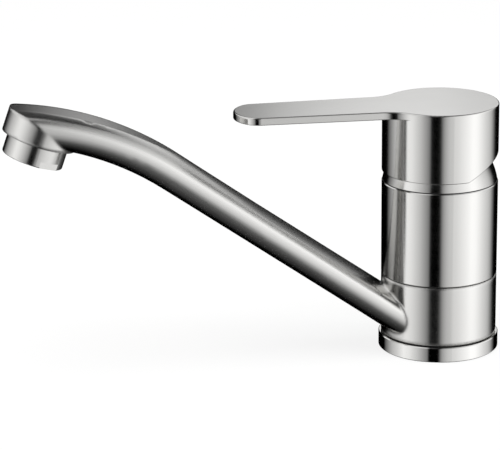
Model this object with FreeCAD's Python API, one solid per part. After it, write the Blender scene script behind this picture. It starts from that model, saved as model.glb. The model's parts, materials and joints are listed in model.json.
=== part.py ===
import FreeCAD, Part
import math
import os

# Low single-lever sink mixer with a swivel spout. Millimetres, +Z up.
# The origin is the centre of the base ring's underside, on the deck.
# Spout and lever point along -Y. The lever is level when the water is off.

V = FreeCAD.Vector
UP = V(0, 0, 1)
SIDE = V(1, 0, 0)

# ---------------------------------------------------------------- driving dimensions

# body, from the deck up
cartridge_radius = 20.0   # everything round the cartridge follows from this
body_wall = 6.0           # from the cartridge to the outside
collar_wall = 4.5         # from the journal to the outside
ring_overhang = 1.0       # of the base ring, past the body
base_ring_height = 6.8
collar_height = 27.0
joint_line = 0.5          # open line above and below the collar, and under the dome
upper_body_height = 42.9
edge_chamfer = 0.35       # on the rims beside the joint lines

# swivel bearing, inside the collar
gallery_height = 11.2     # level with the drilling into the arm
gallery_depth = 2.3
seal_half = 0.9           # half the thickness of a swivel seal
seal_lip_depth = 0.7      # groove between its two lips
seal_land = 2.4           # from each end of the gallery to a seal's middle
slip_ring_width = 3.4

# base gasket
gasket_rim = 1.6          # from the base ring's edge to the gasket
gasket_width = 2.2
gasket_thickness = 1.6

# supply inlets, fixing stud and water ways
inlet_x = 8.0
inlet_y = -6.0
inlet_thread_radius = 4.5
inlet_thread_length = 11.0
inlet_bore_radius = 3.0
stud_y = 13.0
stud_thread_radius = 3.4
stud_thread_length = 11.0
mixed_y = 5.0
mixed_bore_radius = 4.0
mixed_land = 1.0          # between the cross bore and the gallery's upper end

# cartridge
cartridge_floor = 5.4     # solid metal between the collar's shoulder and the cartridge
cartridge_wall = 1.8
cartridge_base_height = 5.6
cup_wall = 2.6            # round the fixed disc
disc_proud = 0.4          # the fixed disc stands this far out of its cup
clamp_drop = 7.7          # from the body's top to the shoulder that the nut presses
shoulder_thickness = 3.5
neck_radius = 15.3
neck_wall = 2.4
neck_height = 9.5
port_seal_half = 0.8
disc_thickness = 3.5
moving_disc_radius = 11.5
port_x = 6.0
port_y = -5.5
port_radius = 2.2
outlet_port_y = 2.0
outlet_port_radius = 3.0
pocket_y = 3.0
pocket_radius = 6.6
pocket_depth = 1.6

# lever mechanism
pivot_drop = 3.7          # the stem's pivot lies this far below the body's top
lift_angle = 25.0         # full flow
stem_width = 9.0
stem_head_room = 5.9      # from the stem's end to the cap's ceiling
ball_drop = 14.0          # below the pivot
ball_radius = 3.0
ball_neck_radius = 2.3
pin_radius = 1.5
pin_end_gap = 0.2         # from the pin's ends to the turret's neck
pin_seat = 0.01           # radius, between the pin and the turret
turret_disc_thickness = 4.2
turret_rise = 6.5         # above the pivot
turret_gap = 0.3          # between the turret's disc and the cartridge's wall
rail_gap = 0.4            # under the turret's rails
stop_room = 0.6           # between the stem and its slot at both ends of the lift
carrier_width = 18.0
carrier_radius = 10.5
nut_overhang = 1.8        # of the nut, past the cartridge
nut_height = 7.0
nut_crown_inset = 1.0     # of the crown, inside the cartridge's radius
nut_crown_height = 3.6
nut_notches = 6
nut_notch_width = 5.0
notch_floor = 0.6

# dome ring
dome_wall = 1.8           # the dome is a sphere about the stem's pivot
dome_height = 10.0
dome_shoulder = 2.7       # from the outside to the spigot
dome_spigot_height = 1.9
dome_spigot_wall = 1.2
dome_web = 1.5
dome_seal_width = 2.0

# handle: cap and paddle in one piece
dome_shown = 4.4          # height of dome left bare under the cap
cap_wall = 2.8
cap_height = 31.2
cap_rim_round = 0.5
cap_top_round = 0.8
relief_angle = 27.0       # the rear of the rim is cut up, so that it can tilt back
relief_start = 7.2        # behind the axis
hub_wall = 4.1            # from the stem's flats to the hub's outside
hub_length = 22.0         # below the cap's ceiling
paddle_thickness = 3.4
paddle_reach = 93.1       # from the body's axis to the tip
paddle_root_half = 14.4
paddle_tip_half = 13.2
paddle_tip_length = 10.0  # of the rounded end
paddle_corner_radius = 8.0
paddle_blend_radius = 16.0
paddle_edge_round = 0.45
screw_drop = 17.3         # from the cap's top to the grub screw
screw_radius = 2.5
screw_length = 5.5
screw_key = 2.5           # across the flats of its socket
screw_key_depth = 2.5
plug_radius = 3.2
plug_thickness = 3.4
plug_inset = 0.1          # below the cap's wall

# spout arm: a flat oval that rises straight and then bends over
nozzle_reach = 179.0      # from the body's axis to the nozzle
arm_root_drop = 0.4       # the centre line meets the collar this far below its middle
arm_slope = 35.4
bend_radius = 132.6
head_slope = 8.67         # of the centre line over the nozzle
bend_end_slope = 1.0
arm_root_half_width = 18.4
arm_root_half_height = 7.9
arm_waist_half_height = 7.35
arm_head_half_height = 7.85
waist_to_bend = 37.2      # the arm is thinnest this far before its bend, measured level
root_widest_rise = 1.5    # the section is widest this far above its centre line
head_widest_rise = 0.8
root_shoulder_radius = 5.0  # of the section's upper ends
head_shoulder_radius = 5.6
belly_radius = 8.0        # of the section's lower ends
arm_wall = 2.2
arm_channel_half_width = 13.3
arm_port_radius = 4.5
facet_flatness = 20.9     # the facet's arc has a radius this much longer than the bend's
facet_depth = 0.6         # at its deepest
facet_slope = 17.5        # slope of the crown where it is deepest
facet_lead = 8.0          # before the bend, where it has run out into the crown

# nozzle socket and aerator
aerator_thread_radius = 12.0
aerator_thread_length = 6.4
aerator_overhang = 1.6    # of the aerator's housing, past its thread
aerator_wall = 1.4        # inside the thread
nozzle_wall = 2.8         # of the nozzle, past the aerator's housing
nozzle_drop = 6.3         # from the arm's centre line to the nozzle's rim
nozzle_tilt = 19.5
rim_relief = 0.6          # the arm is cut back this far behind the rim
aerator_drop = 9.1
aerator_edge_round = 0.5
aerator_lip = 0.9
aerator_flat_depth = 0.8
aerator_flat_height = 2.9
aerator_flat_turn = 27.0
washer_thickness = 1.5
washer_width = 2.8
insert_recess = 1.6
insert_height = 8.0
insert_cell_radius = 1.25
insert_pitch = 3.3
screen_thickness = 0.6
screen_cell_radius = 0.9
thread_wall = 2.0
ledge_thickness = 1.2
ledge_width = 1.6

# clearances
running_fit = 0.05        # radius, between a shaft and its bore
sliding_gap = 0.2         # between guided flats
seat_gap = 0.05           # between pieces laid in each other
swing_gap = 0.35          # between the dome and the cap that tilts over it

# cutting shapes run past what they cut
over = 1.0
beyond = 150.0

# ---------------------------------------------------------------- sizes and levels that follow

body_radius = cartridge_radius + body_wall
journal_radius = body_radius - collar_wall
base_ring_radius = body_radius + ring_overhang
gasket_outer_radius = base_ring_radius - gasket_rim
gasket_inner_radius = gasket_outer_radius - gasket_width
cartridge_bore_radius = cartridge_radius + running_fit
housing_bore_radius = cartridge_radius - cartridge_wall
fixed_disc_radius = cartridge_radius - cup_wall
nut_radius = cartridge_radius + nut_overhang
nut_crown_radius = cartridge_radius - nut_crown_inset
turret_neck_radius = neck_radius - neck_wall - sliding_gap
dome_radius = body_radius
dome_spigot_radius = body_radius - dome_shoulder
cap_radius = body_radius
cap_bore_radius = cap_radius - cap_wall
hub_radius = stem_width / 2 + hub_wall
aerator_radius = aerator_thread_radius + aerator_overhang
aerator_bore_radius = aerator_thread_radius - aerator_wall
nozzle_radius = aerator_radius + nozzle_wall
arm_head_half_width = nozzle_radius
facet_radius = bend_radius + facet_flatness

collar_bottom = base_ring_height + joint_line
collar_top = collar_bottom + collar_height
shoulder_z = collar_top + joint_line
body_top = shoulder_z + upper_body_height
dome_foot = body_top + joint_line
seat_z = shoulder_z + cartridge_floor
clamp_z = body_top - clamp_drop
pivot_z = body_top - pivot_drop
cap_bottom = body_top + dome_shown
cap_top = cap_bottom + cap_height
cap_ceiling = cap_top - paddle_thickness
fixed_disc_z = seat_z + cartridge_base_height
fixed_disc_top = fixed_disc_z + disc_thickness
cup_top = fixed_disc_top - disc_proud
moving_disc_z = fixed_disc_top + seat_gap
carrier_z = moving_disc_z + disc_thickness
turret_disc_top = clamp_z - shoulder_thickness - sliding_gap
turret_disc_bottom = turret_disc_top - turret_disc_thickness
ball_z = pivot_z - ball_drop
stem_top = cap_ceiling - stem_head_room
hub_bottom = cap_ceiling - hub_length
screw_z = cap_top - screw_drop

slope_radians = math.radians(arm_slope)
arm_root_z = (collar_bottom + collar_top) / 2 - arm_root_drop - body_radius * math.tan(slope_radians)
arm_port_z = arm_root_z + journal_radius * math.tan(slope_radians)
gallery_bottom = arm_port_z - gallery_height / 2
gallery_top = gallery_bottom + gallery_height
lower_seal_z = gallery_bottom - seal_land
upper_seal_z = gallery_top + seal_land

# the bend lies in the plane of the spout; "reach" is the distance from the body's axis
bend_centre_reach = nozzle_reach + bend_radius * math.sin(math.radians(head_slope))
bend_start_reach = bend_centre_reach - bend_radius * math.sin(slope_radians)
bend_start_z = arm_root_z + bend_start_reach * math.tan(slope_radians)
bend_centre_z = bend_start_z - bend_radius * math.cos(slope_radians)
nozzle_z = bend_centre_z + bend_radius * math.cos(math.radians(head_slope)) - nozzle_drop
waist_reach = bend_start_reach - waist_to_bend
facet_start_reach = bend_start_reach - facet_lead
ledge_height = aerator_thread_length + washer_thickness + 2 * seat_gap


# ---------------------------------------------------------------- small helpers

def cylinder(radius, bottom, top, x=0.0, y=0.0):
    """Upright cylinder between two levels."""
    return Part.makeCylinder(radius, top - bottom, V(x, y, bottom), UP)


def ring(outer, inner, bottom, top):
    """Upright ring between two levels."""
    return cylinder(outer, bottom, top).cut(cylinder(inner, bottom - over, top + over))


def block(x_half, y_low, y_high, bottom, top):
    """Box that is centred on the plane of the spout."""
    return Part.makeBox(2 * x_half, y_high - y_low, top - bottom, V(-x_half, y_low, bottom))


def turned(points):
    """Solid of revolution about Z from (radius, level) corners."""
    corners = [V(r, 0, z) for r, z in points]
    face = Part.Face(Part.makePolygon(corners + corners[:1]))
    return face.revolve(V(0, 0, 0), UP, 360)


def group(solids):
    """Several separate solids kept together."""
    return Part.Compound(solids)


def hexagon(radius, bottom, top, x, y):
    """Upright six-sided prism."""
    corners = []
    for i in range(7):
        a = math.radians(60 * i)
        corners.append(V(x + radius * math.cos(a), y + radius * math.sin(a), bottom))
    return Part.Face(Part.makePolygon(corners)).extrude(V(0, 0, top - bottom))


def level_edges(shape, z):
    """Edges that lie at one level."""
    return [e for e in shape.Edges if e.BoundBox.ZMin > z - 0.01 and e.BoundBox.ZMax < z + 0.01]


def on_nozzle(shape):
    """Place a piece drawn with its rim at the origin and the water way along +Z."""
    turn = FreeCAD.Rotation(SIDE, -nozzle_tilt)
    return shape.transformed(FreeCAD.Placement(V(0, -nozzle_reach, nozzle_z), turn).toMatrix())


# ---------------------------------------------------------------- base and body

def base_ring():
    """Ring under the collar, with a groove below for its gasket."""
    bore = journal_radius + seat_gap
    rim = base_ring_radius - edge_chamfer
    body = turned([
        (bore, 0), (rim, 0), (base_ring_radius, edge_chamfer),
        (base_ring_radius, base_ring_height - edge_chamfer), (rim, base_ring_height),
        (bore, base_ring_height)])
    groove = ring(gasket_outer_radius + seat_gap, gasket_inner_radius - seat_gap, -over, gasket_thickness)
    return body.cut(groove)


def base_gasket():
    """Flat gasket, level with the ring's underside when it is pressed on the deck."""
    return ring(gasket_outer_radius, gasket_inner_radius, 0, gasket_thickness)


def slip_ring(bottom):
    """Thin ring that shows as the dark line beside the collar."""
    inner = journal_radius + running_fit
    return ring(inner + slip_ring_width, inner, bottom, bottom + joint_line - seat_gap)


def swivel_seal(z, mouth):
    """Lip seal in a groove of the journal, level with its surface, open towards the water."""
    inner = journal_radius - 2 * seal_half
    middle = journal_radius - seal_half
    half_lip = seal_half / 2
    lips = z + mouth * seal_half
    back = z - mouth * seal_half
    return turned([
        (inner, back), (journal_radius, back), (journal_radius, lips), (middle + half_lip, lips),
        (middle, lips - mouth * seal_lip_depth), (middle - half_lip, lips), (inner, lips)])


def body_outline():
    """Outside of the body with its journal, seal grooves and water gallery."""
    rim = body_radius - edge_chamfer
    foot = journal_radius - over
    outside = turned([
        (0, 0), (foot, 0), (journal_radius, over), (journal_radius, shoulder_z), (rim, shoulder_z),
        (body_radius, shoulder_z + edge_chamfer), (body_radius, body_top - edge_chamfer),
        (rim, body_top), (0, body_top)])
    groove_floor = journal_radius - 2 * seal_half - seat_gap
    groove_half = seal_half + seat_gap
    for z in (lower_seal_z, upper_seal_z):
        outside = outside.cut(ring(journal_radius + over, groove_floor, z - groove_half, z + groove_half))
    gallery_floor = journal_radius - gallery_depth
    return outside.cut(ring(journal_radius + over, gallery_floor, gallery_bottom, gallery_top))


def cartridge_well():
    """Bore for the cartridge, the nut's thread and the dome ring's spigot."""
    nut_bore = nut_radius + running_fit
    spigot_bore = dome_spigot_radius + running_fit
    spigot_floor = body_top - dome_spigot_height - seat_gap
    end = body_top + over
    return turned([
        (0, seat_z), (cartridge_bore_radius, seat_z), (cartridge_bore_radius, clamp_z - sliding_gap),
        (nut_bore, clamp_z - sliding_gap), (nut_bore, spigot_floor), (spigot_bore, spigot_floor),
        (spigot_bore, end), (0, end)])


def water_ways():
    """Two supplies up to the cartridge, and the mixed water down to the gallery."""
    cuts = []
    for side in (-1, 1):
        x = side * inlet_x
        cuts.append(cylinder(inlet_thread_radius, -over, inlet_thread_length, x, inlet_y))
        cuts.append(cylinder(inlet_bore_radius, 0, seat_z + over, x, inlet_y))
    cuts.append(cylinder(stud_thread_radius, -over, stud_thread_length, 0, stud_y))
    outlet_z = gallery_top - mixed_bore_radius - mixed_land
    cuts.append(cylinder(mixed_bore_radius, outlet_z, seat_z + over, 0, mixed_y))
    cuts.append(Part.makeCylinder(mixed_bore_radius, journal_radius, V(0, mixed_y, outlet_z), V(0, 1, 0)))
    return cuts


def valve_body():
    """Turned body that carries everything."""
    body = body_outline().cut(cartridge_well())
    for cut in water_ways():
        body = body.cut(cut)
    return body


# ---------------------------------------------------------------- cartridge

def cartridge_base():
    """Foot of the cartridge: a cup for the fixed disc, ports, and seal grooves below."""
    foot = cylinder(cartridge_radius, seat_z + seat_gap, cup_top)
    foot = foot.cut(cylinder(fixed_disc_radius + seat_gap, fixed_disc_z, cup_top + over))
    groove_top = seat_z + 2 * port_seal_half + 2 * seat_gap
    for x, y, radius in ports():
        groove_radius = radius + 2 * port_seal_half + seat_gap
        foot = foot.cut(cylinder(radius, seat_z - over, fixed_disc_z + over, x, y))
        foot = foot.cut(cylinder(groove_radius, seat_z - over, groove_top, x, y))
    return foot


def ports():
    """Place and radius of the three ports under the cartridge."""
    return [(-inlet_x, inlet_y, inlet_bore_radius), (inlet_x, inlet_y, inlet_bore_radius),
            (0, mixed_y, mixed_bore_radius)]


def cartridge_seals():
    """One ring round each port."""
    rings = []
    low = seat_z + seat_gap
    high = low + 2 * port_seal_half
    for x, y, radius in ports():
        outer = cylinder(radius + 2 * port_seal_half, low, high, x, y)
        rings.append(outer.cut(cylinder(radius, low - over, high + over, x, y)))
    return group(rings)


def fixed_disc():
    """Ceramic disc with two supply ports and the outlet port."""
    low = fixed_disc_z - over
    high = fixed_disc_top + over
    disc = cylinder(fixed_disc_radius, fixed_disc_z, fixed_disc_top)
    for side in (-1, 1):
        disc = disc.cut(cylinder(port_radius, low, high, side * port_x, port_y))
    return disc.cut(cylinder(outlet_port_radius, low, high, 0, outlet_port_y))


def moving_disc():
    """Ceramic disc whose pocket joins the ports as it slides forward."""
    disc = cylinder(moving_disc_radius, moving_disc_z, carrier_z)
    pocket_top = moving_disc_z + pocket_depth
    return disc.cut(cylinder(pocket_radius, moving_disc_z - over, pocket_top, 0, pocket_y))


def disc_carrier():
    """Slider on the moving disc, with a socket for the stem's ball."""
    top = turret_disc_bottom - sliding_gap
    slider = cylinder(carrier_radius, carrier_z, top)
    slider = slider.common(block(carrier_width / 2, -carrier_radius, carrier_radius, carrier_z, top))
    socket = cylinder(ball_radius + sliding_gap, ball_z - ball_radius - stop_room, top + over)
    return slider.cut(socket)


def cartridge_housing():
    """Can of the cartridge: wall, shoulder under the nut, and neck."""
    bottom = cup_top + seat_gap
    under = clamp_z - shoulder_thickness
    neck_bore = neck_radius - neck_wall
    return turned([
        (housing_bore_radius, bottom), (cartridge_radius, bottom), (cartridge_radius, clamp_z),
        (neck_radius, clamp_z), (neck_radius, clamp_z + neck_height),
        (neck_bore, clamp_z + neck_height), (neck_bore, under), (housing_bore_radius, under)])


def cartridge_turret():
    """Turret: neck with the pin, disc under the shoulder, and two rails for the slider."""
    rail_bottom = carrier_z + rail_gap
    disc_radius = housing_bore_radius - turret_gap
    turret = cylinder(turret_neck_radius, turret_disc_bottom, pivot_z + turret_rise)
    turret = turret.fuse(cylinder(disc_radius, rail_bottom, turret_disc_top))
    guide = block(carrier_width / 2 + sliding_gap, -cartridge_radius, cartridge_radius,
                  rail_bottom - over, turret_disc_bottom)
    return turret.cut(guide).cut(stem_slot()).cut(pin_bore(pin_radius + pin_seat))


def stem_slot():
    """Slot that lets the stem tilt from upright to full flow, and stops it there."""
    swing = math.radians(lift_angle)
    half = stem_width / 2
    slot_half = half + sliding_gap
    rear = turret_rise * math.sin(swing) + half / math.cos(swing) + stop_room
    front = ball_drop * math.sin(swing) + ball_radius + stop_room
    upper = block(slot_half, -slot_half, rear, pivot_z, pivot_z + turret_rise + over)
    lower = block(slot_half, -front, slot_half, turret_disc_bottom - over, pivot_z)
    turn_room = Part.makeCylinder(half * math.sqrt(2) + sliding_gap, 2 * slot_half,
                                  V(-slot_half, 0, pivot_z), SIDE)
    return upper.fuse(lower).fuse(turn_room)


def pin_bore(radius):
    """Cylinder across the mechanism at the pivot."""
    half = turret_neck_radius + over
    return Part.makeCylinder(radius, 2 * half, V(-half, 0, pivot_z), SIDE)


def pivot_pin():
    """Cross pin that stops just short of the turret's neck at both ends."""
    room = cylinder(turret_neck_radius - pin_end_gap, pivot_z - 2 * pin_radius, pivot_z + 2 * pin_radius)
    return pin_bore(pin_radius).common(room)


def cartridge_nut():
    """Ring nut that presses the cartridge down, with a notched crown for its spanner."""
    top = clamp_z + nut_height
    crown_top = top + nut_crown_height
    bore = neck_radius + seat_gap
    nut = turned([
        (bore, clamp_z), (nut_radius, clamp_z), (nut_radius, top), (nut_crown_radius, top),
        (nut_crown_radius, crown_top), (bore, crown_top)])
    for i in range(nut_notches // 2):
        notch = Part.makeBox(4 * nut_radius, nut_notch_width, nut_crown_height + over,
                             V(-2 * nut_radius, -nut_notch_width / 2, top + notch_floor))
        notch.rotate(V(0, 0, 0), UP, 360.0 / nut_notches * i)
        nut = nut.cut(notch)
    return nut


def dome_ring():
    """Zone of a hollow sphere about the pivot, with a spigot that drops into the body."""
    centre = V(0, 0, pivot_z)
    ball = Part.makeSphere(dome_radius, centre).cut(Part.makeSphere(dome_radius - dome_wall, centre))
    zone = ball.common(cylinder(dome_radius + over, dome_foot, body_top + dome_height))
    inner = dome_spigot_radius - dome_spigot_wall
    web_top = dome_foot + dome_web
    web_radius = dome_radius - dome_wall / 2
    foot = turned([
        (inner, body_top - dome_spigot_height), (dome_spigot_radius, body_top - dome_spigot_height),
        (dome_spigot_radius, dome_foot), (web_radius, dome_foot), (web_radius, web_top), (inner, web_top)])
    return zone.fuse(foot).removeSplitter()


def dome_seal():
    """Flat ring that shows as the dark line under the dome."""
    inner = dome_spigot_radius + seat_gap
    return ring(inner + dome_seal_width, inner, body_top, dome_foot - seat_gap)


# ---------------------------------------------------------------- lever

def stem():
    """Square stem, pierced for the pin, with a ball below."""
    half = stem_width / 2
    square = block(half, -half, half, pivot_z - half, stem_top)
    neck = cylinder(ball_neck_radius, ball_z, pivot_z)
    ball = Part.makeSphere(ball_radius, V(0, 0, ball_z))
    return square.fuse(neck).fuse(ball).cut(pin_bore(pin_radius + running_fit))


def root_blend():
    """Concave arc between the cap's circle and the paddle's side: start, middle and end."""
    centre_x = paddle_root_half + paddle_blend_radius
    reach = cap_radius + paddle_blend_radius
    centre = V(centre_x, -math.sqrt(reach ** 2 - centre_x ** 2), 0)
    on_cap = centre * (cap_radius / reach)
    on_side = centre - SIDE * paddle_blend_radius
    toward_middle = ((on_cap - centre) + (on_side - centre)).normalize()
    return on_cap, centre + toward_middle * paddle_blend_radius, on_side


def tip_arcs(side_start):
    """Corner and end arcs of the rounded tip, in line with the side and square to the axis."""
    side_end = V(paddle_tip_half, paddle_tip_length - paddle_reach, 0)
    along = (side_end - side_start).normalize()
    inward = V(along.y, -along.x, 0)
    corner = side_end + inward * paddle_corner_radius
    depth = corner.y + paddle_reach
    squares = corner.x ** 2 + depth ** 2 - paddle_corner_radius ** 2
    end_radius = squares / (2 * (depth - paddle_corner_radius))
    end_centre = V(0, end_radius - paddle_reach, 0)
    outward = (corner - end_centre).normalize()
    join = end_centre + outward * end_radius
    corner_middle = corner + (outward - inward).normalize() * paddle_corner_radius
    return side_end, corner_middle, join


def paddle_face(z):
    """Face of the cap's circle and the paddle together."""
    on_cap, blend_middle, side_start = root_blend()
    side_end, corner_middle, join = tip_arcs(side_start)
    outline = (on_cap, blend_middle, side_start, side_end, corner_middle, join)
    edges = []
    for sign in (1, -1):
        on_side = [V(sign * p.x, p.y, z) for p in outline]
        edges.append(Part.Arc(*on_side[0:3]).toShape())
        edges.append(Part.makeLine(on_side[2], on_side[3]))
        edges.append(Part.Arc(*on_side[3:6]).toShape())
    tip = V(0, -paddle_reach, z)
    edges.append(Part.Arc(V(join.x, join.y, z), tip, V(-join.x, join.y, z)).toShape())
    back = V(0, cap_radius, z)
    edges.append(Part.Arc(V(on_cap.x, on_cap.y, z), back, V(-on_cap.x, on_cap.y, z)).toShape())
    return Part.Face(Part.Wire(Part.__sortEdges__(edges)))


def cap_pocket():
    """Hollow of the cap: clear of the dome as it tilts, and straight above."""
    swing = Part.makeSphere(dome_radius + swing_gap, V(0, 0, pivot_z))
    room = swing.fuse(cylinder(cap_bore_radius, pivot_z, cap_ceiling))
    return room.cut(cylinder(hub_radius, hub_bottom, cap_ceiling + over))


def rear_relief():
    """Wedge under the rear of the cap's rim."""
    wedge = Part.makeBox(2 * beyond, beyond, beyond, V(-beyond, 0, -beyond))
    wedge.rotate(V(0, 0, 0), SIDE, relief_angle)
    wedge.translate(V(0, relief_start, cap_bottom))
    return wedge


def rim_edges(cap):
    """Outer edges of the cap's rim, level in front and cut up at the rear."""
    return [e for e in cap.Edges if e.BoundBox.ZMax < cap_ceiling - cap_rim_round]


def lever_handle():
    """Cap with its flat paddle, hollow inside, with a hub for the stem."""
    slab = paddle_face(cap_ceiling).extrude(V(0, 0, paddle_thickness))
    slab = slab.makeFillet(cap_top_round, level_edges(slab, cap_top))
    slab = slab.makeFillet(paddle_edge_round, level_edges(slab, cap_ceiling))
    cap = cylinder(cap_radius, cap_bottom, cap_top - cap_top_round).cut(rear_relief())
    cap = cap.makeFillet(cap_rim_round, rim_edges(cap))
    handle = cap.fuse(slab).removeSplitter().cut(cap_pocket())
    socket_half = stem_width / 2 + seat_gap
    socket = block(socket_half, -socket_half, socket_half, hub_bottom - over, stem_top + seat_gap)
    handle = handle.cut(socket)
    screw_hole = Part.makeCylinder(screw_radius, cap_radius, V(0, 0, screw_z), V(0, 1, 0))
    plug_hole = Part.makeCylinder(plug_radius, cap_radius, V(0, hub_radius + over, screw_z), V(0, 1, 0))
    return handle.cut(screw_hole).cut(plug_hole)


def set_screw():
    """Grub screw against the stem, with a hexagon socket."""
    screw = cylinder(screw_radius - seat_gap, 0, screw_length)
    key = hexagon(screw_key / math.sqrt(3), screw_length - screw_key_depth, screw_length + over, 0, 0)
    screw = screw.cut(key)
    screw.rotate(V(0, 0, 0), SIDE, -90)
    screw.translate(V(0, stem_width / 2 + seat_gap, screw_z))
    return screw


def index_plug():
    """Plain plug in the rear of the cap, level with its wall."""
    plug = Part.makeCylinder(plug_radius - seat_gap, plug_thickness,
                             V(0, cap_radius - plug_thickness, screw_z), V(0, 1, 0))
    room = cylinder(cap_radius - plug_inset, screw_z - 2 * plug_radius, screw_z + 2 * plug_radius)
    return plug.common(room)


# ---------------------------------------------------------------- spout

def section(reach, z, half_width, half_height, widest_rise, upper_radius):
    """Flat oval of arcs, square to the arm's straight part, widest above its centre line."""
    rise = V(0, math.sin(slope_radians), math.cos(slope_radians))
    middle = V(0, -reach, z) + rise * widest_rise
    edges = []
    for up, end_radius in ((1, upper_radius), (-1, belly_radius)):
        # the long arc's centre lies below its crown so that it runs on from the end arcs
        height = half_height - up * widest_rise
        span = half_width - end_radius
        bulge = height - end_radius
        sink = (span ** 2 - bulge ** 2) / (2 * bulge)
        turn = math.atan2(sink, span)
        long_radius = height + sink
        join = (long_radius * math.cos(turn), long_radius * math.sin(turn) - sink)
        bow = (span + end_radius * math.cos(turn / 2), end_radius * math.sin(turn / 2))
        ends = []
        for side in (1, -1):
            outer = middle + SIDE * (side * half_width)
            arc_middle = middle + SIDE * (side * bow[0]) + rise * (up * bow[1])
            inner = middle + SIDE * (side * join[0]) + rise * (up * join[1])
            edges.append(Part.Arc(outer, arc_middle, inner).toShape())
            ends.append(inner)
        crown = middle + rise * (up * height)
        edges.append(Part.Arc(ends[0], crown, ends[1]).toShape())
    return Part.Wire(Part.__sortEdges__(edges))


def arm_section(reach, share, half_height):
    """Section of the arm's outside: share is 0 at its root and 1 at the bend and in the head."""
    z = arm_root_z + reach * math.tan(slope_radians)
    half_width = arm_root_half_width + (arm_head_half_width - arm_root_half_width) * share
    widest_rise = root_widest_rise + (head_widest_rise - root_widest_rise) * share
    upper_radius = root_shoulder_radius + (head_shoulder_radius - root_shoulder_radius) * share
    return section(reach, z, half_width, half_height, widest_rise, upper_radius)


def bent(wire):
    """Solid swept round the bend from a section at its start."""
    turn = arm_slope - bend_end_slope
    return Part.Face(wire).revolve(V(0, -bend_centre_reach, bend_centre_z), SIDE, turn)


def arm_outside():
    """The arm's solid from inside the collar to past the nozzle."""
    start = journal_radius - 2 * collar_wall
    share = (waist_reach - start) / (bend_start_reach - start)
    at_bend = arm_section(bend_start_reach, 1, arm_head_half_height)
    straight = Part.makeLoft([
        arm_section(start, 0, arm_root_half_height),
        arm_section(waist_reach, share, arm_waist_half_height), at_bend], True, True)
    return straight.fuse(bent(at_bend))


def arm_channel():
    """Hollow inside the arm: one section all along, with flat sides and round ends."""
    half_height = arm_waist_half_height - arm_wall
    rise = V(0, math.sin(slope_radians), math.cos(slope_radians)) * half_height
    flat = SIDE * (arm_channel_half_width - half_height)
    end = SIDE * arm_channel_half_width
    middle = V(0, -bend_start_reach, bend_start_z)
    wire = Part.Wire([
        Part.makeLine(middle - flat + rise, middle + flat + rise),
        Part.Arc(middle + flat + rise, middle + end, middle + flat - rise).toShape(),
        Part.makeLine(middle + flat - rise, middle - flat - rise),
        Part.Arc(middle - flat - rise, middle - end, middle - flat + rise).toShape()])
    length = bend_start_reach / math.cos(slope_radians)
    back = V(0, math.cos(slope_radians), -math.sin(slope_radians)) * length
    return Part.Face(wire).extrude(back).fuse(bent(wire))


def behind_nozzle():
    """Everything on the body's side of the nozzle's axis."""
    return on_nozzle(Part.makeBox(2 * beyond, 2 * beyond, 2 * beyond, V(-beyond, 0, -beyond)))


def beside_arc(centre_reach, centre_z, radius, near, far, level):
    """Block between an arc in the plane of the spout and a level, across the whole spout."""
    def on_arc(reach):
        return V(-beyond, -reach, centre_z + math.sqrt(radius ** 2 - (reach - centre_reach) ** 2))

    arc_near = on_arc(near)
    arc_far = on_arc(far)
    corner_far = V(-beyond, -far, level)
    corner_near = V(-beyond, -near, level)
    edges = [
        Part.Arc(arc_near, on_arc((near + far) / 2), arc_far).toShape(),
        Part.makeLine(arc_far, corner_far), Part.makeLine(corner_far, corner_near),
        Part.makeLine(corner_near, arc_near)]
    return Part.Face(Part.Wire(edges)).extrude(V(2 * beyond, 0, 0))


def below_widest_line():
    """Block under the line along which the arm is widest, at the nozzle."""
    near = nozzle_reach - 2 * nozzle_radius
    return beside_arc(bend_centre_reach, bend_centre_z, bend_radius + head_widest_rise, near,
                      bend_centre_reach, nozzle_z - 2 * nozzle_radius)


def facet_cutter():
    """Everything above the long shallow facet on the arm's crown."""
    a = math.radians(facet_slope)
    lift = bend_radius + arm_head_half_height - facet_depth - facet_radius
    reach = bend_centre_reach - lift * math.sin(a)
    z = bend_centre_z + lift * math.cos(a)
    return beside_arc(reach, z, facet_radius, facet_start_reach, bend_centre_reach, nozzle_z + beyond)


def nozzle_cylinder(radius, low, high):
    """Cylinder in line with the nozzle, between two heights above its rim."""
    return on_nozzle(cylinder(radius, low, high))


def arm_and_nozzle():
    """Arm that ends in an upright cylinder, whose top is the arm's own upper surface."""
    arm = arm_outside()
    nozzle = nozzle_cylinder(nozzle_radius, 0, 3 * nozzle_radius)
    head = nozzle.common(arm).fuse(nozzle.common(below_widest_line()))
    under_rim = nozzle_cylinder(nozzle_radius + rim_relief, -nozzle_radius, 0)
    return arm.common(behind_nozzle()).cut(under_rim).fuse(head)


def water_way():
    """Hollow of the arm, which passes over the threaded wall into a chamber."""
    channel = arm_channel()
    hollow = channel.common(behind_nozzle()).cut(cylinder(body_radius + sliding_gap, -over, 2 * collar_top))
    wall_radius = aerator_thread_radius + thread_wall
    hollow = hollow.cut(nozzle_cylinder(wall_radius, -nozzle_radius, ledge_height + ledge_thickness))
    chamber = nozzle_cylinder(aerator_thread_radius - ledge_width, ledge_height - over, 3 * nozzle_radius)
    return hollow.fuse(chamber.common(channel))


def arm_port():
    """Drilling from the collar's bore into the arm."""
    along = V(0, -math.cos(slope_radians), math.sin(slope_radians))
    start = V(0, -journal_radius, arm_port_z) - along * collar_wall
    return Part.makeCylinder(arm_port_radius, 4 * collar_wall, start, along)


def collar():
    """Ring that turns round the body's journal."""
    bore = journal_radius + running_fit
    rim = body_radius - edge_chamfer
    return turned([
        (bore, collar_bottom), (rim, collar_bottom), (body_radius, collar_bottom + edge_chamfer),
        (body_radius, collar_top - edge_chamfer), (rim, collar_top), (bore, collar_top)])


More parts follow.
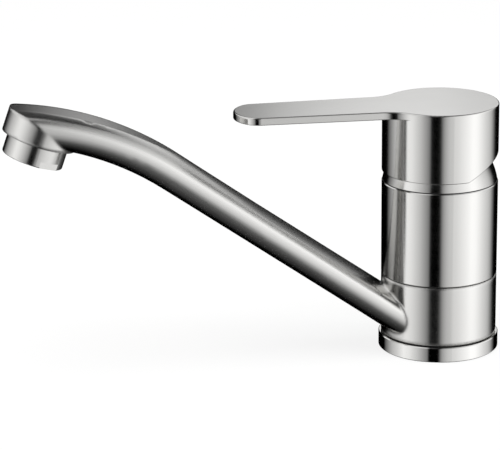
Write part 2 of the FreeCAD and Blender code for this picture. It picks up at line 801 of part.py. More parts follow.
def spout():
    """Collar, arm and nozzle as one hollow piece."""
    outside = arm_and_nozzle().cut(facet_cutter()).removeSplitter()
    outside = outside.cut(cylinder(journal_radius + collar_wall / 2, -beyond, 2 * collar_top))
    outside = outside.fuse(collar())
    thread = nozzle_cylinder(aerator_thread_radius + seat_gap, -over, ledge_height)
    return outside.cut(water_way()).cut(arm_port()).cut(thread)


# ---------------------------------------------------------------- aerator

def aerator_shell():
    """Housing with a male thread above and two spanner flats below."""
    bottom = -aerator_drop
    outer = cylinder(aerator_radius, bottom, 0)
    outer = outer.makeFillet(aerator_edge_round, level_edges(outer, bottom))
    for sign in (-1, 1):
        flat = block(aerator_radius, -aerator_radius, aerator_radius, bottom - over,
                     bottom + aerator_flat_height)
        flat.translate(V(sign * (2 * aerator_radius - aerator_flat_depth), 0, 0))
        flat.rotate(V(0, 0, 0), UP, aerator_flat_turn)
        outer = outer.cut(flat)
    outer = outer.fuse(cylinder(aerator_thread_radius, 0, aerator_thread_length))
    inside = turned([
        (0, bottom - over), (aerator_bore_radius - aerator_lip, bottom - over),
        (aerator_bore_radius - aerator_lip, bottom + insert_recess),
        (aerator_bore_radius, bottom + insert_recess), (aerator_bore_radius, aerator_thread_length + over),
        (0, aerator_thread_length + over)])
    return on_nozzle(outer.cut(inside))


def cell_places(radius, pitch):
    """Places of a hexagonal pattern of cells that fits in a circle."""
    rings = int(radius / pitch)
    places = []
    for i in range(-rings, rings + 1):
        for j in range(-rings, rings + 1):
            if abs(i + j) <= rings:
                places.append((pitch * (i + j / 2), pitch * j * math.sqrt(3) / 2))
    return places


def honeycomb(radius, bottom, height, cell_radius):
    """Disc with a hexagonal pattern of six-sided cells."""
    disc = cylinder(radius, bottom, bottom + height)
    for x, y in cell_places(radius - cell_radius, insert_pitch):
        disc = disc.cut(hexagon(cell_radius, bottom - over, bottom + height + over, x, y))
    return disc


def aerator_insert():
    """Flow straightener."""
    bottom = insert_recess - aerator_drop
    return on_nozzle(honeycomb(aerator_bore_radius - seat_gap, bottom, insert_height, insert_cell_radius))


def aerator_screen():
    """Screen that lies on the straightener."""
    bottom = insert_recess - aerator_drop + insert_height
    return on_nozzle(honeycomb(aerator_bore_radius - 2 * seat_gap, bottom, screen_thickness,
                               screen_cell_radius))


def aerator_washer():
    """Washer between the housing and the ledge in the nozzle."""
    bottom = aerator_thread_length + seat_gap
    return on_nozzle(ring(aerator_thread_radius, aerator_thread_radius - washer_width, bottom,
                          bottom + washer_thickness))


# ---------------------------------------------------------------- write the pieces

def pieces():
    """Every node and its shape."""
    return {
        "base_ring": base_ring(),
        "base_gasket": base_gasket(),
        "valve_body": valve_body(),
        "lower_slip_ring": slip_ring(base_ring_height),
        "upper_slip_ring": slip_ring(collar_top + seat_gap),
        "lower_swivel_seal": swivel_seal(lower_seal_z, 1),
        "upper_swivel_seal": swivel_seal(upper_seal_z, -1),
        "cartridge_base": cartridge_base(),
        "cartridge_seals": cartridge_seals(),
        "fixed_disc": fixed_disc(),
        "moving_disc": moving_disc(),
        "disc_carrier": disc_carrier(),
        "cartridge_housing": cartridge_housing(),
        "cartridge_rotor": cartridge_turret(),
        "pivot_pin": pivot_pin(),
        "cartridge_nut": cartridge_nut(),
        "dome_ring": dome_ring(),
        "dome_seal": dome_seal(),
        "stem": stem(),
        "lever_handle": lever_handle(),
        "set_screw": set_screw(),
        "index_plug": index_plug(),
        "spout": spout(),
        "aerator_washer": aerator_washer(),
        "aerator_shell": aerator_shell(),
        "aerator_insert": aerator_insert(),
        "aerator_screen": aerator_screen(),
    }


os.makedirs("parts", exist_ok=True)
for name, shape in pieces().items():
    shape.exportStep("parts/" + name + ".step")
    print(name, "solids", len(shape.Solids), "volume", round(shape.Volume, 1), "valid", shape.isValid())
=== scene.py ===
# %% [markdown]
# # A single-lever sink mixer in satin steel
#
# The mixer has a turned body on a base ring, a collar that carries a long flat spout, and a cap with a
# flat paddle that is pushed sideways for temperature and lifted for flow. All of it is brushed steel, so
# the lesson is mostly about two things: a finish with a fine grain, and a studio whose panels the steel
# can mirror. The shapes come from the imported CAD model, which is loaded first and never moved.

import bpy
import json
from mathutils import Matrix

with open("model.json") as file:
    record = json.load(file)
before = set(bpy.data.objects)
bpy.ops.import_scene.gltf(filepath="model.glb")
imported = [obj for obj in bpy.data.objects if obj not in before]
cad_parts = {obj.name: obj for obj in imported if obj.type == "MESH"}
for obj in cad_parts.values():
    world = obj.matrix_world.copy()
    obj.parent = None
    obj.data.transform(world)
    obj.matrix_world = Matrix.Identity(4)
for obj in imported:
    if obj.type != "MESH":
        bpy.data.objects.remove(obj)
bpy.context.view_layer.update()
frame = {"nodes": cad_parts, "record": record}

import json
import math

import bmesh
import bpy
from mathutils import Matrix, Vector

nodes = frame["nodes"]

# %% [markdown]
# ## The view
# The photograph looks down at the mixer from its side, from about 1.3 m away through a long lens. The
# place of the camera could be found by eye, but the rims of the body are circles, and circles seen at a
# slant give the distance, the height and the tilt. The numbers below were fitted to those rims and to the
# outline.

# %% Where the camera stands
PHOTO_WIDTH = 500          # pixels
FOCAL_PIXELS = 2786.0      # focal length, in pixels of the photograph
SENSOR = 36.0              # millimetres
CAMERA_BEARING = 13.7      # degrees from the mixer's side, towards the spout's end
CAMERA_DISTANCE = 1.2      # metres from the body's axis, measured level
CAMERA_HEIGHT = 0.4217     # metres above the deck
PAN = 4.061                # degrees towards the spout's end, so that the whole spout is in view
TILT = 16.955              # degrees down
ROLL = -0.494              # degrees
CLIP_END = 20              # metres


def turned_to_mixer(v):
    """A direction seen from the camera, in the mixer's own axes."""
    b = math.radians(CAMERA_BEARING)
    toward_end = Vector((-math.cos(b), -math.sin(b), 0))
    toward_side = Vector((math.sin(b), -math.cos(b), 0))
    return Vector((v.dot(toward_side), -v.dot(toward_end), v.z))


camera_place = turned_to_mixer(Vector((0, -CAMERA_DISTANCE, CAMERA_HEIGHT)))
print("camera at", [round(c, 3) for c in camera_place], "metres")

# %% [markdown]
# ## The camera
# A camera in Blender looks along its own -Z, with +Y up. It could be aimed with a Track To constraint,
# but that leaves no room for the small roll of the photograph, so its matrix is written from the three
# directions.

# %% Camera


def make_camera():
    pan, tilt, roll = (math.radians(a) for a in (PAN, TILT, ROLL))
    ahead = Vector((-math.sin(pan) * math.cos(tilt), math.cos(pan) * math.cos(tilt), -math.sin(tilt)))
    level = Vector((math.cos(pan), math.sin(pan), 0))
    upright = level.cross(ahead)
    right = level * math.cos(roll) + upright * math.sin(roll)
    up = upright * math.cos(roll) - level * math.sin(roll)
    axes = [turned_to_mixer(v) for v in (right, up, -ahead)]
    camera = bpy.data.objects.new("camera", bpy.data.cameras.new("camera"))
    bpy.context.scene.collection.objects.link(camera)
    camera.matrix_world = Matrix.Translation(camera_place) @ Matrix(axes).transposed().to_4x4()
    camera.data.sensor_width = SENSOR
    camera.data.lens = FOCAL_PIXELS * SENSOR / PHOTO_WIDTH
    camera.data.clip_end = CLIP_END
    bpy.context.scene.camera = camera
    return camera


camera = make_camera()
bpy.context.scene.view_settings.view_transform = "Standard"
print("lens of", round(camera.data.lens, 1), "mm")

# %% [markdown]
# ## Writing shader sums in Python
# A finish is a small calculation: a grain is a noise that is stretched, scaled and added to a roughness.
# In the node editor that is a chain of Math nodes. Here a link is wrapped in a class with the usual
# operators, so the chain is written as a sum.

# %% Links that can be added and multiplied


class Link:
    """The output of a node, which can be used in sums."""

    def __init__(self, finish, socket):
        self.finish = finish
        self.socket = socket

    def __add__(self, other):
        return self.finish.math("ADD", self, other)

    def __radd__(self, other):
        return self.finish.math("ADD", other, self)

    def __sub__(self, other):
        return self.finish.math("SUBTRACT", self, other)

    def __rsub__(self, other):
        return self.finish.math("SUBTRACT", other, self)

    def __mul__(self, other):
        return self.finish.math("MULTIPLY", self, other)

    def __rmul__(self, other):
        return self.finish.math("MULTIPLY", other, self)

    def __truediv__(self, other):
        return self.finish.math("DIVIDE", self, other)

    def __rtruediv__(self, other):
        return self.finish.math("DIVIDE", other, self)


print("sums of links ready")

# %% [markdown]
# ## Making the nodes
# Every node is made in the same few steps: it is added, its settings are set, and its inputs get a value
# or a link. That could be written out for each one, but one method does it for all of them. The others
# only save writing for what a finish needs often: a sum, a noise, a soft edge, a mix of two colours.

# %% Finishes
COLOUR_A, COLOUR_B, MIXED_COLOUR = 6, 7, 2     # sockets of a Mix node that is set to colours


class Finish:
    """A material or the world while its nodes are being made."""

    def __init__(self, name, owner=None):
        self.owner = owner or bpy.data.materials.new(name)
        self.owner.use_nodes = True
        self.tree = self.owner.node_tree
        self.tree.nodes.clear()

    def node(self, kind, settings=None, inputs=None, output=0):
        """Any node: its type, its settings, the values or links of its inputs, and the output wanted."""
        made = self.tree.nodes.new(kind)
        for name, value in (settings or {}).items():
            if name == "stops":
                self._stops(made.color_ramp, value)
            else:
                setattr(made, name, value)
        for name, value in (inputs or {}).items():
            if isinstance(value, Link):
                self.tree.links.new(value.socket, made.inputs[name])
            else:
                made.inputs[name].default_value = value
        return Link(self, made.outputs[output]) if made.outputs else None

    def _stops(self, ramp, stops):
        while len(ramp.elements) > 1:
            ramp.elements.remove(ramp.elements[-1])
        for i, (place, grey) in enumerate(stops):
            element = ramp.elements[0] if i == 0 else ramp.elements.new(place)
            element.position = place
            element.color = (grey, grey, grey, 1)

    def math(self, operation, first, second=0.0):
        return self.node("ShaderNodeMath", {"operation": operation}, {0: first, 1: second})

    def place(self, scale=(1, 1, 1), turn=(0, 0, 0)):
        """Object coordinates, turned and then stretched."""
        here = self.node("ShaderNodeTexCoord", output="Object")
        turned = self.node("ShaderNodeMapping", {"vector_type": "POINT"},
                           {"Vector": here, "Rotation": turn})
        return self.node("ShaderNodeMapping", {"vector_type": "POINT"}, {"Vector": turned, "Scale": scale})

    def noise(self, vector, scale, detail, roughness):
        return self.node("ShaderNodeTexNoise", None,
                         {"Vector": vector, "Scale": scale, "Detail": detail, "Roughness": roughness})

    def step(self, value, start, full):
        """A soft edge: 0 up to start, and 1 from full on."""
        return self.node("ShaderNodeMapRange", {"interpolation_type": "SMOOTHSTEP"},
                         {"Value": value, "From Min": start, "From Max": full})

    def blend(self, factor, first, second):
        """A colour between two others."""
        return self.node("ShaderNodeMix", {"data_type": "RGBA"},
                         {"Factor": factor, COLOUR_A: (*first, 1), COLOUR_B: (*second, 1)}, MIXED_COLOUR)

    def looking_rays(self):
        """1 for the rays that look at something: from the camera, off a mirror or through glass."""
        camera, glossy, transmission = (self.node("ShaderNodeLightPath", output=f"Is {kind} Ray")
                                        for kind in ("Camera", "Glossy", "Transmission"))
        return camera + glossy + transmission

    def output(self, shader, kind="ShaderNodeOutputMaterial"):
        self.node(kind, None, {"Surface": shader})
        return self.owner


def swing(noise, amount):
    """A change round nothing, because a noise has its mean at one half."""
    return (noise - 0.5) * amount


def tinted(colour, by):
    return tuple(c * by for c in colour)


print("node helpers ready")

# %% [markdown]
# ## The grain of brushed steel
# Belts leave thousands of fine parallel scratches in the steel, some deeper than others. They could be
# drawn with an image, but a noise that is squeezed across the scratches and stretched along them gives
# the same streaks at any distance, without a texture file. A second, wide noise stands for the marks of
# hands and the uneven pressure of the belt.

# %% Grain
GRAIN_FINE = 9000.0        # streaks per metre, across the grain
GRAIN_LONG = 90.0          # streaks per metre, along the grain
GRAIN_DETAIL, GRAIN_HARSHNESS = 3.0, 0.65
BROAD_SPACING = 9          # how many times further apart the broad streaks are
BROAD_DETAIL, BROAD_HARSHNESS = 2.0, 0.5
MARKS_PER_METRE = 38.0
MARKS_DETAIL, MARKS_HARSHNESS = 3.0, 0.6
ROUND_GRAIN = (1, 1, 0)    # long in the level directions, so the streaks run round an upright body
UPRIGHT_GRAIN = (0, 0, 1)
LENGTH_GRAIN = (0, 1, 0)    # along the paddle and, after a turn, along the arm
CROSS_GRAIN = (1, 0, 0)


def fine_grain(f, along, turn=(0, 0, 0)):
    """Streaks that are long in the directions where along is 1, after the turn."""
    stretch = tuple(GRAIN_LONG if a else GRAIN_FINE for a in along)
    return f.noise(f.place(stretch, turn), 1.0, GRAIN_DETAIL, GRAIN_HARSHNESS)


def broad_grain(f, along, turn):
    stretch = tuple((GRAIN_LONG if a else GRAIN_FINE) / BROAD_SPACING for a in along)
    return f.noise(f.place(stretch, turn), 1.0, BROAD_DETAIL, BROAD_HARSHNESS)


def hand_marks(f):
    return f.noise(f.place(), MARKS_PER_METRE, MARKS_DETAIL, MARKS_HARSHNESS)


print("streaks", round(GRAIN_FINE / GRAIN_LONG), "times as long as wide")

# %% [markdown]
# ## Satin steel
# Brushed steel is bare metal, so it has no colour of its own besides what it mirrors, and what makes it
# look brushed is its grain. The grain does two jobs here. It changes the roughness, so the reflections
# break up along the grain, and it lifts a very small bump, which catches light up close. The body is
# brushed round its axis and the paddle along its length, so the direction of the grain is a setting.

# %% The steel finish
STEEL = (0.76, 0.755, 0.74)
STEEL_DARKER, STEEL_LIGHTER = 0.965, 1.03      # the range of the shade along the streaks
STREAK_ROUGHNESS, BROAD_ROUGHNESS, MARK_ROUGHNESS = 0.10, 0.06, 0.05   # how far each noise changes it
FINE_SHARE = 0.7           # of the bump's height, the rest is broad streaks
SCRATCH_STRENGTH = 0.05
SCRATCH_DEPTH = 0.00004    # metres


def bare_steel(f, colour, roughness, streaks, marks, depth, under=None):
    """The metal. depth is the height of its bump, and under is a normal that the bump starts from."""
    shade = f.blend((marks + streaks) * 0.5, tinted(colour, STEEL_DARKER), tinted(colour, STEEL_LIGHTER))
    bump = {"Strength": SCRATCH_STRENGTH, "Distance": SCRATCH_DEPTH, "Height": depth}
    if under is not None:
        bump["Normal"] = under
    return f.output(f.node("ShaderNodeBsdfPrincipled", None, {
        "Base Color": shade, "Metallic": 1.0, "Roughness": roughness,
        "Normal": f.node("ShaderNodeBump", None, bump)}))


def satin_steel(name, rough, along, colour=STEEL, turn=(0, 0, 0)):
    f = Finish(name)
    streaks = fine_grain(f, along, turn)
    broad = broad_grain(f, along, turn)
    marks = hand_marks(f)
    roughness = (rough + swing(streaks, STREAK_ROUGHNESS) + swing(broad, BROAD_ROUGHNESS)
                 + swing(marks, MARK_ROUGHNESS))
    return bare_steel(f, colour, roughness, streaks, marks, streaks * FINE_SHARE + broad * (1 - FINE_SHARE))


print("steel finish ready")

# %% [markdown]
# ## The spout
# Collar and arm are one brazed piece, brushed in two directions: the collar round, and the arm along its
# length. Two materials would leave a hard line between them, so one material changes from one grain to
# the other over the first millimetres of the arm. The photographed arm is softer over its near shoulder,
# which a mask from the direction of the surface draws. The creases of its end are slightly round on the
# real one and sharp in the CAD model. A Bevel node rounds how they look, though not their shape.

# %% The spout's finish
ARM_SLOPE = math.radians(35.4)
COLLAR_END, ARM_START = -0.027, -0.036         # where one grain ends and the other is alone, metres
SHOULDER_FACING = (0.52, 0.50, 0.69)           # the direction that the near shoulder faces
SHOULDER_EDGE = (0.90, 0.985)                  # cosines from that direction
COLLAR_ROUGH, ARM_ROUGHER, SHOULDER_ROUGHER = 0.16, 0.07, 0.2
CREASE_RADIUS = 0.0022     # metres
CREASE_SAMPLES = 6


def spout_finish(name):
    f = Finish(name)
    here = f.node("ShaderNodeTexCoord", output="Object")
    along_arm = f.node("ShaderNodeSeparateXYZ", None, {"Vector": here}, "Y")
    arm = f.step(along_arm, COLLAR_END, ARM_START)
    facing = f.node("ShaderNodeTexCoord", output="Normal")
    toward = f.node("ShaderNodeVectorMath", {"operation": "DOT_PRODUCT"},
                    {0: facing, 1: SHOULDER_FACING}, "Value")
    shoulder = f.step(toward, *SHOULDER_EDGE) * arm
    arm_grain = fine_grain(f, LENGTH_GRAIN, (ARM_SLOPE, 0, 0))
    streaks = fine_grain(f, ROUND_GRAIN) * (1 - arm) + arm_grain * arm
    marks = hand_marks(f)
    roughness = (COLLAR_ROUGH + arm * ARM_ROUGHER + shoulder * SHOULDER_ROUGHER
                 + swing(streaks, STREAK_ROUGHNESS) + swing(marks, MARK_ROUGHNESS))
    softened = f.node("ShaderNodeBevel", {"samples": CREASE_SAMPLES}, {"Radius": CREASE_RADIUS})
    return bare_steel(f, STEEL, roughness, streaks, marks, streaks, softened)


print("spout finish ready")

# %% [markdown]
# ## Plastic, rubber and ceramic
# The parts inside are moulded, or pressed and fired, and the seals are moulded too: their edges show as
# black lines beside the collar and under the dome. Moulds leave a fine texture, and the colour is never
# quite even. Both could be left out at this size, but a flat black looks like a hole, so a fine noise
# makes the pores and a wide one the clouds.

# %% The moulded finish
PORES_PER_METRE, PORES_DETAIL, PORES_HARSHNESS = 2600.0, 2.0, 0.6
CLOUDS_PER_METRE, CLOUDS_DETAIL, CLOUDS_HARSHNESS = 60.0, 2.0, 0.5
CLOUD_DARKER, CLOUD_LIGHTER = 0.9, 1.1
PORE_ROUGHNESS, CLOUD_ROUGHNESS = 0.08, 0.08
PORE_STRENGTH = 0.15
PORE_DEPTH = 0.00005       # metres


def moulded(name, colour, rough):
    f = Finish(name)
    pores = f.noise(f.place(), PORES_PER_METRE, PORES_DETAIL, PORES_HARSHNESS)
    clouds = f.noise(f.place(), CLOUDS_PER_METRE, CLOUDS_DETAIL, CLOUDS_HARSHNESS)
    bump = f.node("ShaderNodeBump", None,
                  {"Strength": PORE_STRENGTH, "Distance": PORE_DEPTH, "Height": pores})
    return f.output(f.node("ShaderNodeBsdfPrincipled", None, {
        "Base Color": f.blend(clouds, tinted(colour, CLOUD_DARKER), tinted(colour, CLOUD_LIGHTER)),
        "Roughness": rough + swing(pores, PORE_ROUGHNESS) + swing(clouds, CLOUD_ROUGHNESS),
        "Normal": bump}))


print("moulded finish ready")

# %% [markdown]
# ## A finish for each piece
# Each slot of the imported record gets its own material, because a turned ring, a brazed arm and a cast
# paddle are brushed on different machines. One steel for all would be shorter, but the pieces would run
# into each other where they meet.

# %% Materials by slot
NOZZLE_TILT = math.radians(19.5)
BRASS = (0.8, 0.6, 0.3)
STEELS = {
    "base_ring_steel": dict(rough=0.07, along=ROUND_GRAIN, colour=(0.83, 0.825, 0.81)),
    "body_steel": dict(rough=0.12, along=ROUND_GRAIN),
    "dome_steel": dict(rough=0.14, along=ROUND_GRAIN),
    "lever_steel": dict(rough=0.14, along=LENGTH_GRAIN),
    "aerator_steel": dict(rough=0.18, along=ROUND_GRAIN, turn=(NOZZLE_TILT, 0, 0)),
    "pin_steel": dict(rough=0.25, along=CROSS_GRAIN),
    "screen_steel": dict(rough=0.3, along=(1, 1, 1), colour=(0.6, 0.6, 0.59)),
    "nut_brass": dict(rough=0.25, along=ROUND_GRAIN, colour=BRASS),
    "stem_brass": dict(rough=0.25, along=UPRIGHT_GRAIN, colour=BRASS),
}
MOULDED = {
    "gasket_rubber": ((0.02, 0.02, 0.02), 0.6),
    "seal_rubber": ((0.015, 0.015, 0.015), 0.35),
    "slip_ring_plastic": ((0.012, 0.012, 0.012), 0.5),
    "cartridge_plastic": ((0.72, 0.72, 0.69), 0.4),
    "rotor_plastic": ((0.12, 0.12, 0.13), 0.4),
    "ceramic": ((0.84, 0.83, 0.8), 0.15),
    "plug_plastic": ((0.3, 0.3, 0.3), 0.35),
    "insert_plastic": ((0.7, 0.7, 0.68), 0.35),
}
finishes = {"spout_steel": spout_finish("spout_steel")}
finishes.update((name, satin_steel(name, **how)) for name, how in STEELS.items())
finishes.update((name, moulded(name, *how)) for name, how in MOULDED.items())
subparts = frame["record"]["subparts"]
for part in subparts:
    mesh = nodes[part["node"]].data
    mesh.materials.clear()
    mesh.materials.append(finishes[part["material_slot"]])
print(len(finishes), "finishes on", len(subparts), "nodes")

# %% [markdown]
# ## Pieces of the stage
# Two shapes are enough: a disc for the floor, the ceiling and the foot, and an upright wall. They could
# be primitives from the menu, but bmesh gives the same every time and needs no selection.

# %% Discs, walls and how they are seen
DISC_SIDES = 64
WALL_SIDES = 256


def finished_mesh(name, bm):
    mesh = bpy.data.meshes.new(name)
    bm.to_mesh(mesh)
    bm.free()
    return mesh


def disc(name, radius, z):
    bm = bmesh.new()
    bmesh.ops.create_circle(bm, cap_ends=True, segments=DISC_SIDES, radius=radius)
    bmesh.ops.translate(bm, verts=bm.verts, vec=(0, 0, z))
    return finished_mesh(name, bm)


def wall(name, radius, low, high):
    bm = bmesh.new()
    bmesh.ops.create_circle(bm, cap_ends=False, segments=WALL_SIDES, radius=radius)
    bmesh.ops.translate(bm, verts=bm.verts, vec=(0, 0, low))
    made = bmesh.ops.extrude_edge_only(bm, edges=bm.edges)
    up = [v for v in made["geom"] if isinstance(v, bmesh.types.BMVert)]
    bmesh.ops.translate(bm, verts=up, vec=(0, 0, high - low))
    return finished_mesh(name, bm)


def stage_object(mesh, material):
    ob = bpy.data.objects.new(mesh.name, mesh)
    bpy.context.scene.collection.objects.link(ob)
    mesh.materials.append(material)
    return ob


def only_in_reflections(ob):
    ob.visible_camera = False
    ob.visible_diffuse = False
    ob.visible_shadow = False
    ob.visible_volume_scatter = False


print("stage helpers ready")

# %% [markdown]
# ## A tent for the steel to mirror
# A product photographer stands steel in a tent of white panels, with black flags between them. The flags
# are what draws the dark lines down a cylinder, because a mirror needs something dark to show its shape.
# Each panel and flag could be a sheet of its own, but their edges are soft and many. So the tent here is
# one round wall with a ceiling and a foot, and its material works out how bright it is in each direction,
# from the bearing and the height. The tent is seen in reflections only: it neither lights the floor nor
# hides the white backdrop.

# %% Brightness from a direction
MIRROR_HEIGHT = 0.12       # metres, the point from which the heights are measured


class Tent(Finish):
    """Emission that depends on the bearing from the camera and on the height, both in degrees."""

    def ramp(self, value, stops, peak=1.0):
        low, high = stops[0][0], stops[-1][0]
        span = high - low
        return self.node("ShaderNodeValToRGB", {"stops": [((a - low) / span, v / peak) for a, v in stops]},
                         {"Fac": (value - low) / span}) * peak

    def between(self, first, second, share):
        return first * (1 - share) + second * share

    def directions(self):
        here = self.node("ShaderNodeTexCoord", output="Object")
        x, y, z = (self.node("ShaderNodeSeparateXYZ", None, {"Vector": here}, axis) for axis in "XYZ")
        turn = math.radians(90 - CAMERA_BEARING)
        ahead = x * -math.sin(turn) + y * math.cos(turn)
        right = x * math.cos(turn) + y * math.sin(turn)
        far = self.math("SQRT", x * x + y * y)
        bearing = self.math("ARCTAN2", right, ahead * -1)
        height = self.math("ARCTAN2", z - MIRROR_HEIGHT, far)
        return bearing * math.degrees(1), height * math.degrees(1)

    def glow(self, brightness, most):
        """Emission: the brightness goes into its colour, as a share of the most that the tent has."""
        share = brightness / most
        grey = self.node("ShaderNodeCombineColor", None, {0: share, 1: share, 2: share})
        return self.output(self.node("ShaderNodeEmission", None, {"Color": grey, "Strength": most}))


print("tent helpers ready")

# %% [markdown]
# ## How bright the tent is
# A mirror shows which direction it looks at and how bright that direction is. So the camera's rays were
# followed off the CAD shapes, to learn the direction that each stretch of steel looks at, and the
# photograph says how bright that stretch is. The stops below were set by hand to suit those readings and
# then corrected in test renders. Bearings are degrees from the camera, positive to its right, and heights
# are degrees above level. Two rings are enough. The body is upright and seen from a little above, so it
# mirrors the level ring and what is just below it. What faces upward, such as the dome and the top of the
# arm, mirrors the slope above it.

# %% The level ring
PEAK = 1.4                 # a ramp holds shares of this, because some stops are brighter than white
LEVEL = [
    (-180, 0.0), (-126, 0.0), (-121, 0.12), (-112, 0.30), (-98, 0.60), (-84, 0.8), (-69, 1.1),
    (-56, 1.0), (-47, 0.82), (-39, 0.68), (-31, 0.49), (-20, 0.25), (-17, 0.0),
    (1, 0.0), (3, 0.08), (6, 0.28), (9, 0.43), (17, 0.64), (25, 0.77), (41, 0.98), (58, 1.19), (67, 1.32),
    (77, 1.28), (88, 1.08), (99, 0.88), (112, 0.69), (120, 0.5), (125, 0.3), (133, 0.06), (138, 0.0),
    (180, 0.0)]
LEVEL_FALL = [(-50, 0.0), (-41, 0.28), (-34, 0.66), (-26, 0.88), (-19, 1.0), (0, 1.0)]     # by height
FOOT = [
    (-90, 0.0), (-79, 0.012), (-71, 0.028), (-64, 0.045), (-56, 0.07), (-49, 0.10), (-41, 0.12),
    (-34, 0.08), (-24, 0.0)]                   # by height
# Soft edges, as the degrees at which each starts and is complete.
FOOT_EDGE = (-108, -80)
FLAG_BEARING = -73.5       # a narrow black flag inside the bright left side
FLAG_SIDES, FLAG_TOP, FLAG_BOTTOM = (6.5, 2.5), (0, -5), (-20.2, -19.4)
FLAG_DARKNESS = 0.95


def level_ring(f, bearing, height):
    flag_sides = f.step(f.math("ABSOLUTE", bearing - FLAG_BEARING), *FLAG_SIDES)
    flag = flag_sides * f.step(height, *FLAG_TOP) * f.step(height, *FLAG_BOTTOM)
    foot = f.ramp(height, FOOT) * f.step(bearing, *FOOT_EDGE)
    return f.ramp(bearing, LEVEL, PEAK) * f.ramp(height, LEVEL_FALL) * (1 - flag * FLAG_DARKNESS) + foot


print(len(LEVEL), "stops round the level ring")

# %% The slope above it
SLOPE = [
    (-180, 0.08), (-168, 0.08), (-164, 0.42), (-159, 0.8), (-150, 0.9), (-60, 0.8), (-38, 0.6), (-28, 0.05),
    (8, 0.05), (15, 0.35), (22, 0.75), (38, 0.98), (52, 1.08), (68, 1.25), (82, 1.25), (98, 1.18),
    (112, 1.04), (128, 0.86), (142, 0.76), (151, 0.7), (158, 0.62), (166, 0.3), (180, 0.2)]
# How it falls off with height, on the right and on the left.
RIGHT_FALL = [
    (0, 1.0), (34, 1.0), (41, 0.88), (49, 0.73), (56, 0.58), (64, 0.4), (71, 0.19), (79, 0.05), (90, 0.0)]
LEFT_FALL = [(0, 1.0), (68, 1.0), (76, 0.6), (82, 0.3), (90, 0.04)]
# The panel behind the mixer, by height and by bearing.
REAR_HEIGHTS = [
    (0, 0.0), (4, 0.08), (8, 0.36), (10.5, 0.45), (13, 0.85), (15, 1.0), (23, 1.0), (29.5, 0.15),
    (33, 0.0), (48, 0.0), (56, 0.4), (64, 0.6), (74, 0.6), (82, 0.2), (90, 0.04)]
REAR_SIDES = [
    (-180, 0.95), (-177.8, 0.95), (-176.3, 0.86), (-174.8, 0.75), (-174.1, 0.68), (-173.3, 0.45),
    (-171, 0.45), (160, 1.3), (166, 1.25), (170, 0.85), (177, 0.8), (178.5, 0.84), (180, 0.95)]
LEFT_EDGE = (10, -20)
REAR_EDGE, REAR_SHIFT = (160, 168), 6          # the panel starts this much further back on the left
BACK_LEFT_SIDE, BACK_LEFT_TOP, BACK_LEFT_DARKNESS = (-142, -149), (46, 35), 0.95
BACK_RIGHT_SIDE, BACK_RIGHT_FOOT, BACK_RIGHT_DARKNESS = (146, 158), (19, 26), 0.65
ZENITH_EDGE, ZENITH_GLOW = (80, 87), 0.35      # for the flat top of the paddle, looked at from above


def slope_above(f, bearing, height, aside):
    left = f.step(bearing, *LEFT_EDGE)
    rear = f.step(aside - left * REAR_SHIFT, *REAR_EDGE)
    back_left = f.step(bearing, *BACK_LEFT_SIDE) * f.step(height, *BACK_LEFT_TOP)
    back_right = f.step(bearing, *BACK_RIGHT_SIDE) * f.step(height, *BACK_RIGHT_FOOT)
    fall = f.between(f.ramp(height, RIGHT_FALL), f.ramp(height, LEFT_FALL), left)
    flags = (1 - back_left * BACK_LEFT_DARKNESS) * (1 - back_right * BACK_RIGHT_DARKNESS)
    sides = f.ramp(bearing, SLOPE, PEAK) * fall * flags
    rear_panel = f.ramp(height, REAR_HEIGHTS) * f.ramp(bearing, REAR_SIDES)
    return f.between(f.between(sides, rear_panel, rear), ZENITH_GLOW, f.step(height, *ZENITH_EDGE))


print(len(SLOPE), "stops round the slope")

# %% [markdown]
# ## Putting up the tent
# The two rings meet at a soft edge, which lies lower behind the mixer, where the rear panel hangs down
# further. The wall is tall against its radius, so that only the steepest reflections reach the ceiling
# and the foot, and all three share one material, because it works from directions and needs no seams.

# %% Tent
TENT_RADIUS = 1.6                              # metres
TENT_REACH = 2 * TENT_RADIUS                   # above and below the deck
RING_EDGE = (16, 22)                           # heights at which the slope starts and is alone
RING_DROP, DROP_EDGE = 13, (145, 158)          # how far that edge drops behind, and from which bearings


def tent_material():
    f = Tent("tent")
    bearing, height = f.directions()
    aside = f.math("ABSOLUTE", bearing)
    lower = level_ring(f, bearing, height)
    upper = slope_above(f, bearing, height, aside)
    share = f.step(height + f.step(aside, *DROP_EDGE) * RING_DROP, *RING_EDGE)
    return f.glow(f.between(lower, upper, share), PEAK)


tent_glow = tent_material()
tent_meshes = (wall("tent_wall", TENT_RADIUS, -TENT_REACH, TENT_REACH),
               disc("tent_ceiling", TENT_RADIUS, TENT_REACH),
               disc("tent_foot", TENT_RADIUS, -TENT_REACH))
for mesh in tent_meshes:
    only_in_reflections(stage_object(mesh, tent_glow))
print("tent of", len(tent_glow.node_tree.nodes), "nodes on", len(tent_meshes), "pieces")

# %% [markdown]
# ## The floor
# The mixer stands on white paper, and the photograph shows hardly more of it than a faint shadow. More
# light would turn the paper white too, but it would wash the shadow out. So most of what a looking ray
# sees of the paper is its own even white, and the rest is real paper, which still takes the shadow. The
# steel mirrors the tent's foot and not the floor, because the photographed steel is dark below.

# %% Floor
FLOOR_RADIUS = 6.0         # metres
FLOOR_GAP = 0.0002         # metres below the deck, so that the base ring does not touch it
FLOOR_WHITENESS = 0.82     # the share of the even white
FIBRES_PER_METRE, FIBRES_DETAIL, FIBRES_HARSHNESS = 900.0, 3.0, 0.6
FIBRE_CONTRAST = 0.02
PAPER, PAPER_ROUGHNESS = (0.93, 0.93, 0.925, 1), 0.4
WHITE = (1, 1, 1, 1)


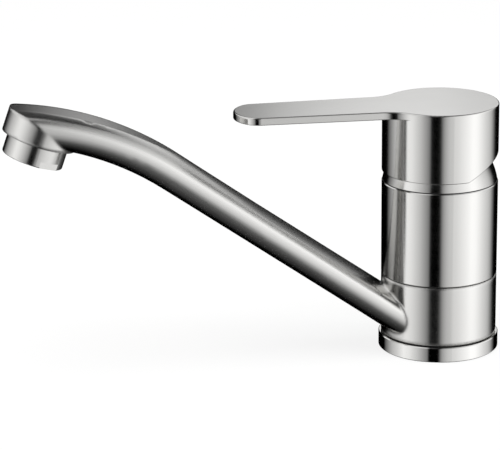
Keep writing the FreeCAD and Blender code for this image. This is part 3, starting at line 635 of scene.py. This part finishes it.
def floor_material():
    f = Finish("paper_floor")
    fibres = f.noise(f.place(), FIBRES_PER_METRE, FIBRES_DETAIL, FIBRES_HARSHNESS)
    paper = f.node("ShaderNodeBsdfDiffuse", None, {"Color": PAPER, "Roughness": PAPER_ROUGHNESS})
    white = f.node("ShaderNodeEmission", None, {"Color": WHITE, "Strength": 1.0})
    share = f.looking_rays() * (FLOOR_WHITENESS + swing(fibres, FIBRE_CONTRAST))
    return f.output(f.node("ShaderNodeMixShader", None, {0: share, 1: paper, 2: white}))


floor = stage_object(disc("paper_floor", FLOOR_RADIUS, -FLOOR_GAP), floor_material())
floor.visible_glossy = False
print("floor", FLOOR_RADIUS * 2, "metres across")

# %% [markdown]
# ## Light
# The tent gives the steel its reflections, so the lamp has little more than the shadow to draw. A small
# lamp would draw a hard one. This one is a wide disc above the mixer, and the steel does not mirror it.
# The room adds an even light from all sides and looks fully white where it is seen, behind the floor's
# edge.

# %% Lamp and room
LAMP_PLACE = (0.3, -0.2, 1.4)
LAMP_AIM = (0, -0.05, 0.06)
LAMP_SIZE = 1.2            # metres across
LAMP_WATTS = 14
ROOM_LIGHT = 0.7           # of white, for the rays that only carry light


def soft_lamp():
    lamp = bpy.data.lights.new("top_lamp", "AREA")
    lamp.shape = "DISK"
    lamp.size = LAMP_SIZE
    lamp.energy = LAMP_WATTS
    ob = bpy.data.objects.new("top_lamp", lamp)
    bpy.context.scene.collection.objects.link(ob)
    ob.location = LAMP_PLACE
    ob.rotation_euler = (Vector(LAMP_AIM) - Vector(LAMP_PLACE)).to_track_quat("-Z", "Y").to_euler()
    ob.visible_glossy = False
    ob.visible_camera = False


def white_world():
    world = bpy.data.worlds.new("white_room")
    bpy.context.scene.world = world
    f = Finish("white_room", world)
    strength = f.looking_rays() * (1 - ROOM_LIGHT) + ROOM_LIGHT
    f.output(f.node("ShaderNodeBackground", None, {"Color": WHITE, "Strength": strength}),
             "ShaderNodeOutputWorld")


soft_lamp()
white_world()
print("lamp of", LAMP_WATTS, "watts and a white room")
